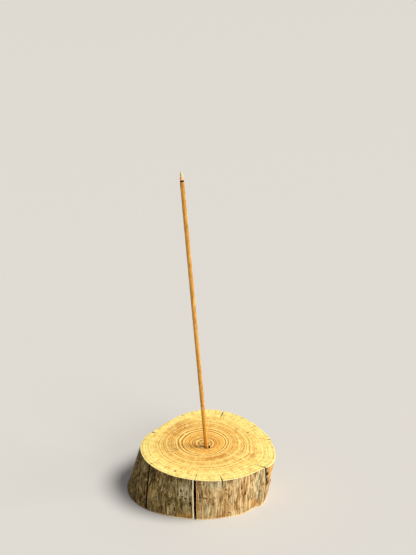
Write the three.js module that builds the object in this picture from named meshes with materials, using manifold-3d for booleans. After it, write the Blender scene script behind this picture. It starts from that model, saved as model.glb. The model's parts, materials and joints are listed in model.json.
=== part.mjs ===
// Log-slice incense burner: a round sawn from a leaning branch, dried until it checked, with one
// hole drilled at the pith that holds a burning incense stick. The weathered inner bark is a thin
// skin, and the deep drying checks split it into separate strips.
// Millimetres, +Z up. The origin lies on the sawn bottom face, straight under the stick hole.
import * as THREE from 'three';
import { mergeVertices } from 'three/addons/utils/BufferGeometryUtils.js';
import Module from 'manifold-3d';

const wasm = await Module();
wasm.setup();

// ---------------------------------------------------------------- driving dimensions

const SLICE_HEIGHT = 31; // between the two sawn faces
const RIM_RADIUS = 46; // mean distance from the pith to the top rim
// The top rim's shape: degrees anticlockwise from +X, and the distance from the pith over RIM_RADIUS.
const RIM_SHAPE = [
  [0, 1.035], [25, 0.985], [45, 1.01], [65, 1.073], [87, 1.127], [103, 1.09], [125, 0.988],
  [145, 0.947], [160, 0.99], [175, 1.013], [200, 0.973], [230, 0.9], [258, 0.865], [285, 0.892],
  [312, 0.945], [325.5, 0.99], [328.5, 1.045], [338, 1.083],
];
const RIM_STEP = 2; // degrees between the rim's points
const SPIRAL_STEPS = 10; // levels in what turns with the grain, so that its walls stay true

const LOG_LEAN = 12; // degrees by which the branch leans from plumb
const LOG_LEAN_TOWARDS = -8; // the side that its top leans to
// Where the foot spreads beyond the leaning branch. at: degrees. by: how far. sharpness: the power
// that narrows it.
const FOOT_SWELLS = [
  { at: 198, by: 4.2, sharpness: 5 },
  { at: 317, by: 2.4, sharpness: 20 },
];

const BARK_THICKNESS = 1.1;
const JOINT_GAP = 0.3; // between pieces that touch

const STICK_DIAMETER = 3;
const STICK_LENGTH = 208; // with the ash still on it
const STICK_LEAN = 4.8; // degrees from plumb, as far over as the hole lets it lean
const STICK_LEAN_TOWARDS = 162;
const STICK_SIDES = 32;

const HOLE_DEPTH = 13.5;
const HOLE_CLEARANCE = 0.15; // between the stick and each place where it leans on the hole

const CHAR_HEIGHT = 0.7;
const CHAR_SHRINKAGE = 0.1; // how far the charred ring lies inside the stick's wall
const ASH_HEIGHT = 5.3; // the stretch that has burnt
const ASH_SHRINKAGE = 0.2; // how far the ash lies inside the stick's wall at its foot
const ASH_TIP_DIAMETER = 1.3;
const ASH_WALL = 0.45; // crust over the ember
const ASH_BULGE = 0.12; // how far the ash's middle stands out from a straight taper
const EMBER_HEIGHT = 3;

// The drying checks, by the side of the slice that they are on. at: degrees, on the top face.
// turn: degrees further round the branch that the check is at the foot, because the grain spirals.
// width: across the mouth at the wall. depth: from the wall towards the pith. low, high: the
// heights between which it runs.
const TOP_CRUST = 0.8; // sanding dust that bridges the front check under the top face
const PAST = 2; // how far a cutter runs past what it cuts
const PAST_WALL = 8; // and a check's cutter, past the wall, which bulges further out lower down
const BELOW = -PAST;
const ABOVE = SLICE_HEIGHT + PAST;
const CHECKS = {
  front: { at: 258.4, turn: 10, width: 1.5, depth: 15, low: BELOW, high: SLICE_HEIGHT - TOP_CRUST },
  front_left: { at: 208.5, turn: 11, width: 0.7, depth: 9, low: BELOW, high: ABOVE },
  front_right: { at: 327, turn: 6, width: 0.9, depth: 9, low: BELOW, high: ABOVE },
  back_right: { at: 76, turn: 8, width: 1.3, depth: 13, low: BELOW, high: ABOVE },
  back_left: { at: 153.5, turn: 8, width: 0.8, depth: 6, low: BELOW, high: ABOVE },
  front_short: { at: 284, turn: 8, width: 0.8, depth: 6, low: SLICE_HEIGHT - 7, high: ABOVE },
  right_short: { at: 12.5, turn: 8, width: 0.6, depth: 8, low: SLICE_HEIGHT - 12, high: ABOVE },
  back_short: { at: 113, turn: 8, width: 0.6, depth: 3, low: SLICE_HEIGHT - 9, high: ABOVE },
};

// Each strip of bark runs anticlockwise between two checks that are open from face to face.
const BARK_STRIPS = {
  bark_front_left: ['front_left', 'front'],
  bark_front_right: ['front', 'front_right'],
  bark_right: ['front_right', 'back_right'],
  bark_back: ['back_right', 'back_left'],
  bark_left: ['back_left', 'front_left'],
};

// Where the bark has flaked off below the rim: a corner of the right strip, as [degrees, height
// over SLICE_HEIGHT] round its edge, from the rim down and back.
const FLAKE = [
  [329.5, 1], [331, 0.75], [337, 0.52], [344, 0.38], [352, 0.3], [361, 0.42], [367, 0.66], [369, 1],
];

// ---------------------------------------------------------------- helpers

const rad = THREE.MathUtils.degToRad;

function material(color, roughness) {
  return new THREE.MeshStandardMaterial({ color, roughness, metalness: 0 });
}

const sapwood = material('#e9c27d', 0.75);
const bark = material('#8a7454', 0.9);
const incense = material('#c98a3c', 0.85);
const charcoal = material('#1c1613', 0.95);
const ember = material('#e2603a', 0.9);
const ash = material('#d9cdb4', 0.95);

function piece(name, geometry, look) {
  const mesh = new THREE.Mesh(geometry, look);
  mesh.name = name;
  return mesh;
}

function solidOf(geometry) {
  const bare = geometry.clone().deleteAttribute('normal').deleteAttribute('uv');
  const merged = mergeVertices(bare, 1e-4);
  return new wasm.Manifold(new wasm.Mesh({
    numProp: 3,
    vertProperties: merged.attributes.position.array,
    triVerts: new Uint32Array(merged.index.array),
  }));
}

function geometryOf(solid) {
  const { vertProperties, triVerts, numProp } = solid.getMesh();
  const buffer = new THREE.InterleavedBuffer(vertProperties, numProp);
  const geometry = new THREE.BufferGeometry();
  geometry.setAttribute('position', new THREE.InterleavedBufferAttribute(buffer, 3, 0));
  geometry.setIndex(new THREE.BufferAttribute(triVerts, 1));
  const flat = geometry.toNonIndexed();
  flat.computeVertexNormals();
  return flat;
}

// ---------------------------------------------------------------- the branch

// The rim is one smooth closed curve: its x is the angle and its y the radius, and two points are
// repeated at each end so that it meets itself smoothly.
const rimCurve = new THREE.CatmullRomCurve3(
  [
    ...RIM_SHAPE.slice(-2).map(([deg, share]) => [deg - 360, share]),
    ...RIM_SHAPE,
    ...RIM_SHAPE.slice(0, 2).map(([deg, share]) => [deg + 360, share]),
  ].map(([deg, share]) => new THREE.Vector3(deg, share * RIM_RADIUS, 0)),
  false,
  'centripetal',
);
const rimSamples = rimCurve.getPoints(720);

// The distance from the pith to the outside of the bark, at an angle in degrees.
function rimRadius(deg) {
  const turned = THREE.MathUtils.euclideanModulo(deg, 360);
  const next = rimSamples.findIndex((p) => p.x > turned);
  const [a, b] = [rimSamples[next - 1], rimSamples[next]];
  return THREE.MathUtils.mapLinear(turned, a.x, b.x, a.y, b.y);
}

function rimPoint(deg, inset = 0) {
  const r = rimRadius(deg) - inset;
  return new THREE.Vector2(r * Math.cos(rad(deg)), r * Math.sin(rad(deg)));
}

// Points along the rim from one angle to another, no more than RIM_STEP apart.
function rimArc(from, to, inset) {
  const steps = Math.ceil((to - from) / RIM_STEP);
  return Array.from({ length: steps + 1 }, (_, i) => rimPoint(from + ((to - from) * i) / steps, inset));
}

function footSwell(angle) {
  const swell = ({ at, by, sharpness }) => by * Math.max(0, Math.cos(angle - rad(at))) ** sharpness;
  return FOOT_SWELLS.reduce((sum, one) => sum + swell(one), 0);
}

// Moves a geometry made round an upright axis on to the leaning branch. By the foot each level has
// turned with the grain by turnAt(angle) degrees, spread by the swells and slid along the lean.
// The top face stays where it is.
function followBranch(geometry, turnAt = () => 0) {
  const slope = Math.tan(rad(LOG_LEAN));
  const lean = rad(LOG_LEAN_TOWARDS);
  const p = geometry.attributes.position;
  for (let i = 0; i < p.count; i++) {
    const drop = SLICE_HEIGHT - p.getZ(i);
    const upright = Math.atan2(p.getY(i), p.getX(i));
    const angle = upright + (rad(turnAt(THREE.MathUtils.radToDeg(upright))) * drop) / SLICE_HEIGHT;
    const r = Math.hypot(p.getX(i), p.getY(i));
    const reach = r > 0 ? r + (footSwell(angle) * drop) / SLICE_HEIGHT : 0;
    p.setX(i, reach * Math.cos(angle) - drop * slope * Math.cos(lean));
    p.setY(i, reach * Math.sin(angle) - drop * slope * Math.sin(lean));
  }
  return geometry;
}

function extrude(points, depth, steps = 1) {
  return new THREE.ExtrudeGeometry(new THREE.Shape(points), { depth, steps, bevelEnabled: false });
}

// A check's cutter: a wedge with its edge towards the pith, opening to its width at the wall.
function checkCutter({ at, turn, width, depth, low, high }) {
  const wall = rimRadius(at);
  const mouth = (width / 2) * ((depth + PAST_WALL) / depth);
  const wedge = [
    new THREE.Vector2(wall - depth, 0),
    new THREE.Vector2(wall + PAST_WALL, -mouth),
    new THREE.Vector2(wall + PAST_WALL, mouth),
  ];
  const geometry = extrude(wedge, high - low, SPIRAL_STEPS).rotateZ(rad(at)).translate(0, 0, low);
  return solidOf(followBranch(geometry, () => turn));
}

// Everything between two checks, from the pith to well outside the wall.
function sector(start, end) {
  const span = THREE.MathUtils.euclideanModulo(end.at - start.at, 360);
  const steps = Math.ceil(span / 10);
  const far = 2 * RIM_RADIUS;
  const arc = Array.from({ length: steps + 1 }, (_, i) => {
    const angle = rad(start.at + (span * i) / steps);
    return new THREE.Vector2(far * Math.cos(angle), far * Math.sin(angle));
  });
  const turnAt = (deg) => {
    const share = THREE.MathUtils.euclideanModulo(deg - start.at + 1, 360) - 1;
    return THREE.MathUtils.lerp(start.turn, end.turn, share / span);
  };
  const outline = [new THREE.Vector2(), ...arc];
  const geometry = extrude(outline, ABOVE - BELOW, SPIRAL_STEPS).translate(0, 0, BELOW);
  return solidOf(followBranch(geometry, turnAt));
}

// The flaked-off corner's cutter, a prism that looks out from the pith through the bark.
function flakeCutter() {
  const middle = (FLAKE[0][0] + FLAKE.at(-1)[0]) / 2;
  const reach = rimRadius(middle);
  const edge = FLAKE.map(([deg, share]) => new THREE.Vector2(
    reach * Math.tan(rad(deg - middle)),
    share === 1 ? ABOVE : share * SLICE_HEIGHT,
  ));
  const geometry = extrude(edge, 4 * BARK_THICKNESS + reach / 4)
    .rotateX(Math.PI / 2)
    .rotateZ(Math.PI / 2)
    .translate(reach * 0.85, 0, 0)
    .rotateZ(rad(middle));
  return solidOf(followBranch(geometry));
}

// ---------------------------------------------------------------- the slice

const lean = rad(STICK_LEAN);
// A stick this thick and this far over bears on the hole's mouth and on the far side of its floor.
const HOLE_DIAMETER = STICK_DIAMETER * Math.cos(lean) + HOLE_DEPTH * Math.tan(lean) + 2 * HOLE_CLEARANCE;
const HOLE_FLOOR = SLICE_HEIGHT - HOLE_DEPTH;

function stickHole() {
  const depth = HOLE_DEPTH + PAST;
  const drill = new THREE.CylinderGeometry(HOLE_DIAMETER / 2, HOLE_DIAMETER / 2, depth, 40);
  return solidOf(drill.rotateX(Math.PI / 2).translate(0, 0, HOLE_FLOOR + depth / 2));
}

const cutters = Object.values(CHECKS).map(checkCutter);

function woodSlice() {
  const outline = rimArc(0, 360, BARK_THICKNESS + JOINT_GAP).slice(0, -1);
  let wood = solidOf(followBranch(extrude(outline, SLICE_HEIGHT)));
  for (const cutter of cutters) wood = wood.subtract(cutter);
  return piece('wood_slice', geometryOf(wood.subtract(stickHole())), sapwood);
}

// The whole ring of bark. It stands clear of the table, so that the wood carries the slice.
function barkRing() {
  const ring = new THREE.Shape(rimArc(0, 360, 0).slice(0, -1));
  ring.holes.push(new THREE.Path(rimArc(0, 360, BARK_THICKNESS).slice(0, -1)));
  const depth = SLICE_HEIGHT - JOINT_GAP;
  const geometry = new THREE.ExtrudeGeometry(ring, { depth, bevelEnabled: false });
  return solidOf(followBranch(geometry.translate(0, 0, JOINT_GAP)));
}

const bareRing = cutters.reduce((ring, cutter) => ring.subtract(cutter), barkRing());
const flakedRing = bareRing.subtract(flakeCutter());

function barkStrip(name, [start, end]) {
  const strip = flakedRing.intersect(sector(CHECKS[start], CHECKS[end]));
  return piece(name, geometryOf(strip), bark);
}

// ---------------------------------------------------------------- the stick

function lathe(profile) {
  const points = profile.map(([r, z]) => new THREE.Vector2(r, z));
  return new THREE.LatheGeometry(points, STICK_SIDES).rotateX(Math.PI / 2);
}

const unburnt = STICK_LENGTH - ASH_HEIGHT - CHAR_HEIGHT - 2 * JOINT_GAP;
const ashFoot = unburnt + CHAR_HEIGHT + 2 * JOINT_GAP;
const ashBase = STICK_DIAMETER / 2 - ASH_SHRINKAGE;
const emberRadius = ashBase - ASH_WALL - JOINT_GAP;

function incenseStick() {
  const r = STICK_DIAMETER / 2;
  const edge = 0.2; // worn off both ends
  return piece('incense_stick', lathe([
    [0, 0], [r - edge, 0], [r, edge], [r, unburnt - edge], [r - edge, unburnt], [0, unburnt],
  ]), incense);
}

function charCollar() {
  const [r, low] = [STICK_DIAMETER / 2 - CHAR_SHRINKAGE, unburnt + JOINT_GAP];
  const waist = ashBase;
  return piece('char_collar', lathe([
    [0, low], [r, low], [r, low + CHAR_HEIGHT / 2], [waist, low + CHAR_HEIGHT], [0, low + CHAR_HEIGHT],
  ]), charcoal);
}

function emberCone() {
  const top = ashFoot + EMBER_HEIGHT;
  return piece('ember', lathe([
    [0, ashFoot], [emberRadius, ashFoot], [emberRadius * 0.75, ashFoot + EMBER_HEIGHT / 2], [0, top],
  ]), ember);
}

// The ash is a crust over the ember, and tapers to a blunt round tip.
function ashCap() {
  const tip = ASH_TIP_DIAMETER / 2;
  const shoulder = ashFoot + ASH_HEIGHT - tip;
  const cavity = ashFoot + EMBER_HEIGHT + 2 * JOINT_GAP; // its pointed top clears the ember on the slant
  const dome = [30, 60].map((deg) => [tip * Math.cos(rad(deg)), shoulder + tip * Math.sin(rad(deg))]);
  return piece('ash_cap', lathe([
    [0, cavity],
    [ashBase - ASH_WALL, ashFoot + EMBER_HEIGHT / 2],
    [ashBase - ASH_WALL, ashFoot],
    [ashBase, ashFoot],
    [(ashBase + tip) / 2 + ASH_BULGE, ashFoot + ASH_HEIGHT / 2],
    [tip, shoulder],
    ...dome,
    [0, ashFoot + ASH_HEIGHT],
  ]), ash);
}

// The stick stands on the hole's floor and leans on its mouth.
function stick() {
  const group = new THREE.Group();
  group.add(incenseStick(), charCollar(), emberCone(), ashCap());
  const r = STICK_DIAMETER / 2;
  const away = HOLE_DIAMETER / 2 - HOLE_CLEARANCE - r * Math.cos(lean);
  const towards = rad(STICK_LEAN_TOWARDS);
  const foot = HOLE_FLOOR + HOLE_CLEARANCE + r * Math.sin(lean);
  group.position.set(-away * Math.cos(towards), -away * Math.sin(towards), foot);
  const leanAxis = new THREE.Vector3(-Math.sin(towards), Math.cos(towards), 0);
  group.setRotationFromAxisAngle(leanAxis, lean);
  return group;
}

const burner = new THREE.Group();
burner.add(woodSlice());
for (const [name, ends] of Object.entries(BARK_STRIPS)) burner.add(barkStrip(name, ends));
burner.add(stick());

export default burner;
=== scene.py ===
import json
import math

import bmesh
import bpy
import numpy as np
from mathutils import Matrix, Vector
from mathutils.bvhtree import BVHTree


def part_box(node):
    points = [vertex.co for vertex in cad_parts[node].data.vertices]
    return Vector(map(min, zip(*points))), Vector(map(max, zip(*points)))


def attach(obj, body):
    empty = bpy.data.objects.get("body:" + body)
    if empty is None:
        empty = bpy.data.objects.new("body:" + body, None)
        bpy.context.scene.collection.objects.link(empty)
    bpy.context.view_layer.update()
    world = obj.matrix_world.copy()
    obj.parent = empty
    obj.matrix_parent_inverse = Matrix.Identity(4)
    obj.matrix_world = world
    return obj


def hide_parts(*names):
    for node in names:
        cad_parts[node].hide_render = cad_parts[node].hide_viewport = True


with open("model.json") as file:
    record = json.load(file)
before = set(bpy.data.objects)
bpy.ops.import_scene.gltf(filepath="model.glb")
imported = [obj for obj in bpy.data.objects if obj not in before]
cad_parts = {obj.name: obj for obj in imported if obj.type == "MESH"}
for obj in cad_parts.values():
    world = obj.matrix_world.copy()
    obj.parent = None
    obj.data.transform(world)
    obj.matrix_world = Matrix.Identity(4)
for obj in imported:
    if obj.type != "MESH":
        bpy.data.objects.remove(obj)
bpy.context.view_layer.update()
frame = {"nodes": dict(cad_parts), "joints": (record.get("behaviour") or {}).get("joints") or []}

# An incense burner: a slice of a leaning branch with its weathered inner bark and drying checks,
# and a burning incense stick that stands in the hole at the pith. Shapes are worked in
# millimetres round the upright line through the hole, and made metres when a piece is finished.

MM = 0.001
TAU = 2 * math.pi


# ---------------------------------------------------------------- smooth random heights

LATTICE = np.random.default_rng(11).random((256, 256))


def smooth(low, high, value):
    """0 below low, 1 above high, and an even rise between them."""
    share = np.clip((np.asarray(value, float) - low) / (high - low), 0, 1)
    return share * share * (3 - 2 * share)


def mix(a, b, share):
    return a + (b - a) * share


def apart(turn, other):
    """How many degrees a turn lies past another, from -180 to 180."""
    return (turn - other + 180) % 360 - 180


def grain(x, y, seed=0):
    """Smooth random heights from 0 to 1 that change over about one unit of x and of y."""
    x, y = np.broadcast_arrays(np.asarray(x, float), np.asarray(y, float))
    column, row = np.floor(x).astype(int), np.floor(y).astype(int)
    across, up = smooth(0, 1, x - column), smooth(0, 1, y - row)

    def corner(i, j):
        return LATTICE[(column + i + 37 * seed) % 256, (row + j + 91 * seed) % 256]

    low = mix(corner(0, 0), corner(1, 0), across)
    high = mix(corner(0, 1), corner(1, 1), across)
    return mix(low, high, up)


def rough(x, y, seed=0, layers=3):
    """Several sizes of grain laid over each other, still from 0 to 1."""
    total, weight = 0, 0
    for layer in range(layers):
        total = total + grain(x * 2 ** layer, y * 2 ** layer, seed + layer) / 2 ** layer
        weight += 1 / 2 ** layer
    return total / weight


# ---------------------------------------------------------------- the frame's walls and checks

SLICE_LOW, SLICE_HIGH = (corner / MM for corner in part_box("wood_slice"))
TOP = SLICE_HIGH.z
BARK_NODES = [name for name in frame["nodes"] if name.startswith("bark_")]
RAY_STEP = 0.1  # degrees from one ray to the next
TURNS = np.arange(0, 360, RAY_STEP)
RAY_START = 100  # mm out from the hole
TOP_CRUST = 0.9  # the readings start under the wood that still closes the front check on top
HEIGHTS = np.linspace(0.7, TOP - TOP_CRUST, 18)
CHECK_SPAN = 15  # rays either way that a check may take up
LEAST_CHECK = 0.5  # mm deep


def solid_of(names):
    """Some nodes' surface in mm, as something that rays can be sent at."""
    points, faces = [], []
    for name in names:
        mesh = frame["nodes"][name].data
        first = len(points)
        points += [v.co / MM for v in mesh.vertices]
        faces += [[first + i for i in face.vertices] for face in mesh.polygons]
    return BVHTree.FromPolygons(points, faces)


def wall_at(solid, height):
    """The radius of the wall at every turn, as met from outside. It is 0 where nothing is met."""
    radii = []
    for turn in np.radians(TURNS):
        out = Vector((math.cos(turn), math.sin(turn), 0))
        start = out * RAY_START + Vector((0, 0, height))
        distance = solid.ray_cast(start, -out, RAY_START)[3]
        radii.append(0.0 if distance is None else RAY_START - distance)
    return np.array(radii)


def closed(row, span=CHECK_SPAN):
    """The row with each dip that is narrower than twice the span filled."""
    shifts = range(-span, span + 1)
    grown = np.max([np.roll(row, s) for s in shifts], axis=0)
    return np.min([np.roll(grown, s) for s in shifts], axis=0)


def evened(row, span=10):
    """The row with its facets rounded off."""
    weights = np.hanning(2 * span + 1)
    return sum(w * np.roll(row, s - span) for s, w in enumerate(weights)) / weights.sum()


WOOD = solid_of(["wood_slice"])
BARK = solid_of(BARK_NODES)
WOOD_READINGS = [wall_at(WOOD, height) for height in HEIGHTS]
BARK_READINGS = [wall_at(BARK, height) for height in HEIGHTS]
WOOD_WALL = np.array([evened(closed(row)) for row in WOOD_READINGS])
BARK_COVER = np.array([closed((row > 0).astype(float)) for row in BARK_READINGS])
BARK_DEPTH = float(np.median(np.concatenate([
    (bark - wood)[bark > wood] for bark, wood in zip(BARK_READINGS, WOOD_WALL)])))


def read(table, turn, height):
    """A table's value at turns in degrees and heights in mm. Past its ends it goes on straight."""
    place = (np.asarray(turn, float) % 360) / RAY_STEP
    left = np.floor(place).astype(int) % len(TURNS)
    across = place - np.floor(place)
    level = (np.asarray(height, float) - HEIGHTS[0]) / (HEIGHTS[1] - HEIGHTS[0])
    low = np.clip(np.floor(level).astype(int), 0, len(HEIGHTS) - 2)
    right = (left + 1) % len(TURNS)
    under = mix(table[low, left], table[low, right], across)
    over = mix(table[low + 1, left], table[low + 1, right], across)
    return mix(under, over, level - low)


def outer_wall(turn, height):
    """The radius of the bark's outside."""
    return read(WOOD_WALL, turn, height) + BARK_DEPTH


def dips(row, wall):
    """The middle turn, width and depth of each check at one height."""
    deep = wall - row > LEAST_CHECK
    found = []
    for start in np.flatnonzero(deep & ~np.roll(deep, 1)):
        run = start
        while deep[run % len(deep)]:
            run += 1
        rays = np.arange(start, run) % len(deep)
        middle = (start + run - 1) / 2 * RAY_STEP
        width = (run - start) * math.radians(RAY_STEP) * wall[start]
        found.append((middle % 360, width, (wall - row)[rays].max()))
    return found


CHECK_NAMES = ("right_short", "back_right", "back_short", "back_left",
               "front_left", "front", "front_short", "front_right")
LONGEST_JUMP = 2.5  # degrees that a check may shift from one reading to the next


def follow_checks():
    """Each check's line down the wall, its mouth's width, its depth and how far down it runs."""
    levels = [dips(row, wall) for row, wall in zip(WOOD_READINGS, WOOD_WALL)]
    checks = {}
    for name, (turn, width, depth) in zip(CHECK_NAMES, sorted(levels[-1])):
        heights, turns, at = [HEIGHTS[-1]], [turn], turn
        for height, found in zip(HEIGHTS[-2::-1], levels[-2::-1]):
            near = [one for one in found if abs(one[0] - at) < LONGEST_JUMP]
            if not near:
                break
            at = min(near, key=lambda one: abs(one[0] - at))[0]
            heights.append(height)
            turns.append(at)
        through = len(heights) == len(HEIGHTS)
        # A check is a wedge, so its width and depth at the bark's outside follow from the wood's.
        depth = depth + BARK_DEPTH
        checks[name] = {
            "line": np.polyfit(heights, turns, 2 if through else 1),
            "width": width / (1 - (LEAST_CHECK + BARK_DEPTH) / depth),
            "depth": depth,
            "low": -10.0 if through else heights[-1],
            "through": through,
        }
    return checks


CHECKS = follow_checks()


def check_turn(check, height):
    return np.polyval(check["line"], height)


# ---------------------------------------------------------------- finishing a piece

ARRIS = math.radians(38)  # edges sharper than this stay crisp


def finish_piece(shape, name, body, materials, shaping=None, notes=None, nodes=()):
    """Makes a bmesh in mm a finished piece. shaping moves its points, and notes gives each
    point the numbers that its material reads."""
    mesh = bpy.data.meshes.new(name)
    bmesh.ops.recalc_face_normals(shape, faces=shape.faces)
    shape.to_mesh(mesh)
    shape.free()
    places = np.zeros(len(mesh.vertices) * 3)
    mesh.vertices.foreach_get("co", places)
    places = places.reshape(-1, 3)
    values = notes(places) if notes else {}
    if shaping:
        places = shaping(places)
    mesh.vertices.foreach_set("co", (places * MM).ravel())
    for note, numbers in values.items():
        mesh.attributes.new(note, "FLOAT", "POINT").data.foreach_set("value", numbers)
    for material in materials:
        mesh.materials.append(material)
    outwards = bmesh.new()
    outwards.from_mesh(mesh)
    bmesh.ops.recalc_face_normals(outwards, faces=outwards.faces)
    outwards.to_mesh(mesh)
    outwards.free()
    mesh.shade_smooth()
    mesh.set_sharp_from_angle(angle=ARRIS)
    mesh.update()
    piece = bpy.data.objects.new(name, mesh)
    bpy.context.scene.collection.objects.link(piece)
    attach(piece, body)
    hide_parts(*nodes)
    return piece


def turned(outline, sides):
    """A shape turned round Z from (radius, height) points."""
    shape = bmesh.new()
    points = [shape.verts.new((radius, 0, height)) for radius, height in outline]
    edges = [shape.edges.new(pair) for pair in zip(points, points[1:])]
    bmesh.ops.spin(shape, geom=points + edges, axis=(0, 0, 1), cent=(0, 0, 0),
                   steps=sides, angle=TAU, use_merge=True)
    bmesh.ops.remove_doubles(shape, verts=shape.verts, dist=1e-5)
    return shape


def push_down(shape, faces, height):
    """Extrudes level faces down to a height. Faces with others beside them leave an opening behind."""
    edges = list({edge for face in faces for edge in face.edges})
    moved = bmesh.ops.extrude_face_region(shape, geom=faces + edges)["geom"]
    for point in (g for g in moved if isinstance(g, bmesh.types.BMVert)):
        point.co.z = height


# ---------------------------------------------------------------- material nodes

SHARE, UNDER, OVER, MIXED = 0, 6, 7, 2  # a colour mix's sockets, and its result's


def linear(colour):
    """A #rrggbb colour as linear red, green, blue and alpha."""
    parts = [int(colour[i:i + 2], 16) / 255 for i in (1, 3, 5)]
    return [p / 12.92 if p <= 0.04045 else ((p + 0.055) / 1.055) ** 2.4 for p in parts] + [1]


def per_mm(across, up):
    """The scale that makes a pattern's marks this many mm across and this many up."""
    return [1 / (across * MM), 1 / (across * MM), 1 / (up * MM)]


class Finish:
    """A material that is built up node by node."""

    def __init__(self, name, roughness, specular):
        self.material = bpy.data.materials.new(name)
        self.material.use_nodes = True
        self.tree = self.material.node_tree
        self.shader = self.tree.nodes["Principled BSDF"]
        self.fill(self.shader, {"Roughness": roughness, "Specular IOR Level": specular})

    def fill(self, node, sockets):
        """Sets or links a node's sockets. Each goes by its name or number."""
        for socket, value in sockets.items():
            if isinstance(value, bpy.types.NodeSocket):
                self.tree.links.new(value, node.inputs[socket])
            else:
                node.inputs[socket].default_value = linear(value) if isinstance(value, str) else value

    def add(self, kind, sockets, out=0, stops=(), **settings):
        """Adds a node, with a ramp's (place, colour) stops, and gives its output."""
        node = self.tree.nodes.new("ShaderNode" + kind)
        for setting, value in settings.items():
            setattr(node, setting, value)
        self.fill(node, sockets)
        if stops:
            elements = node.color_ramp.elements
            elements.remove(elements[1])
            for place, colour in stops[1:]:
                elements.new(place).color = linear(colour)
            elements[0].position, elements[0].color = stops[0][0], linear(stops[0][1])
        return node.outputs[out]

    def layered(self, base, layers):
        """Lays colours over a base. Each shows as much as most says where its value is at high,
        and not at all where it is at low."""
        for value, low, high, most, colour in layers:
            share = self.add("MapRange", {"Value": value, "From Min": low, "From Max": high, "To Max": most},
                             interpolation_type="SMOOTHSTEP")
            base = self.add("Mix", {SHARE: share, UNDER: base, OVER: colour}, MIXED, data_type="RGBA")
        return base


def sanded_end_grain():
    """Seasoned sapwood sanded across the grain and left bare: dull, honey at the heart and cream
    at the edge, with fine rings, rays and cut fibres, and painted shadow and shade round the stick's foot."""
    f = Finish("sanded_end_grain", 0.65, 0.15)
    grown, warmth, stick_shade, smudge, edge = (
        f.add("Attribute", {}, "Fac", attribute_name=note)
        for note in ("growth", "warmth", "painted_shade_at_stick", "smudge", "edge_line"))
    here = f.add("TexCoord", {}, "Object")
    # Fibres cut across are 0.1 mm. They are drawn at 0.8 mm so that they show.
    wander, patchy, mottle, broken, speckle = (
        f.add("TexNoise", {"Vector": here, "Scale": 1 / (size * MM), "Detail": 3, "Roughness": 0.6})
        for size in (7, 9, 4.5, 2.6, 0.8))
    growth = f.add("Math", {0: wander, 1: 1.4, 2: grown}, operation="MULTIPLY_ADD")
    share = f.add("Math", {0: growth, 1: 1 / LAST_RING}, operation="MULTIPLY")
    base = f.add("ValToRGB", {"Fac": share}, stops=[
        (0.05, "#9c6224"), (0.10, "#b87a2b"), (0.16, "#d09038"), (0.23, "#d99b3d"), (0.29, "#e0a241"),
        (0.36, "#e2a94b"), (0.42, "#dca448"), (0.49, "#e0ac50"), (0.55, "#e7ba5c"), (0.67, "#ebc063"),
        (0.78, "#edcd70"), (0.88, "#efda7c"), (0.97, "#f0e084")])
    # Growth rings of about 1.2 mm, strongest near the heart, and in places faint.
    ring, band = (
        f.add("TexNoise", {"W": growth, "Scale": scale, "Detail": 2.5}, noise_dimensions="1D")
        for scale in (0.85, 0.28))
    fading = f.add("MapRange", {"Value": grown, "From Min": 16, "From Max": 34,
                                "To Min": 1.25, "To Max": 0.6})
    breaks = f.add("MapRange", {"Value": broken, "From Min": 0.35, "From Max": 0.6,
                                "To Min": 0.45, "To Max": 1.2})
    strength = f.add("Math", {0: fading, 1: breaks}, operation="MULTIPLY")
    swing = f.add("Math", {0: ring, 1: 0.5}, operation="SUBTRACT")
    ringed = f.add("Math", {0: swing, 1: strength, 2: 0.5}, operation="MULTIPLY_ADD")
    # Rays run out from the pith. They are 0.3 mm wide, and drawn at 0.8 mm.
    pith = f.add("VectorMath", {0: here, 1: (1.5 * MM, -5.5 * MM, 0)}, operation="ADD")
    level = f.add("VectorMath", {0: pith, 1: (1, 1, 0)}, operation="MULTIPLY")
    aim = f.add("VectorMath", {0: level}, operation="NORMALIZE")
    drift = f.add("CombineXYZ", {"Z": f.add("Math", {0: grown, 1: 0.004}, operation="MULTIPLY")})
    spread = f.add("VectorMath", {0: aim, 1: drift}, operation="ADD")
    ray = f.add("TexNoise", {"Vector": spread, "Scale": 38, "Detail": 3, "Roughness": 0.6})
    outer = f.add("MapRange", {"Value": grown, "From Min": 10, "From Max": 26})
    ray_swing = f.add("Math", {0: ray, 1: 0.5}, operation="SUBTRACT")
    rayed = f.add("Math", {0: ray_swing, 1: outer, 2: 0.5}, operation="MULTIPLY_ADD")
    warm = f.add("Math", {0: warmth, 1: patchy}, operation="MULTIPLY")
    base = f.layered(base, [
        (warm, 0.0, 0.5, 0.9, "#c07e2c"),
        (band, 0.5, 0.68, 0.4, "#b87526"),
        (ringed, 0.52, 0.64, 0.8, "#8f5416"),
        (ringed, 0.49, 0.38, 0.75, "#ffe48c"),
        (rayed, 0.52, 0.66, 0.4, "#c38532"),
        (rayed, 0.48, 0.34, 0.5, "#ffec9c"),
        (mottle, 0.52, 0.7, 0.4, "#c08132"),
        (mottle, 0.46, 0.3, 0.4, "#ffe891"),
        (speckle, 0.52, 0.68, 0.24, "#a06a26"),
        (speckle, 0.46, 0.34, 0.3, "#fff0a6"),
        # painted shadow of the stick and painted shade round its hole, dark brown
        (stick_shade, 0.0, 1.0, 1.0, "#5a4014"),
        (smudge, 0.0, 1.0, 1.0, "#7a5640"),
        (edge, 0.0, 1.0, 1.0, "#b97f3a")])
    height = f.add("Math", {0: ring, 1: speckle}, operation="ADD")
    bump = f.add("Bump", {"Height": height, "Distance": 0.05 * MM}, "Normal")
    f.fill(f.shader, {"Base Color": base, "Normal": bump})
    return f.material


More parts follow.
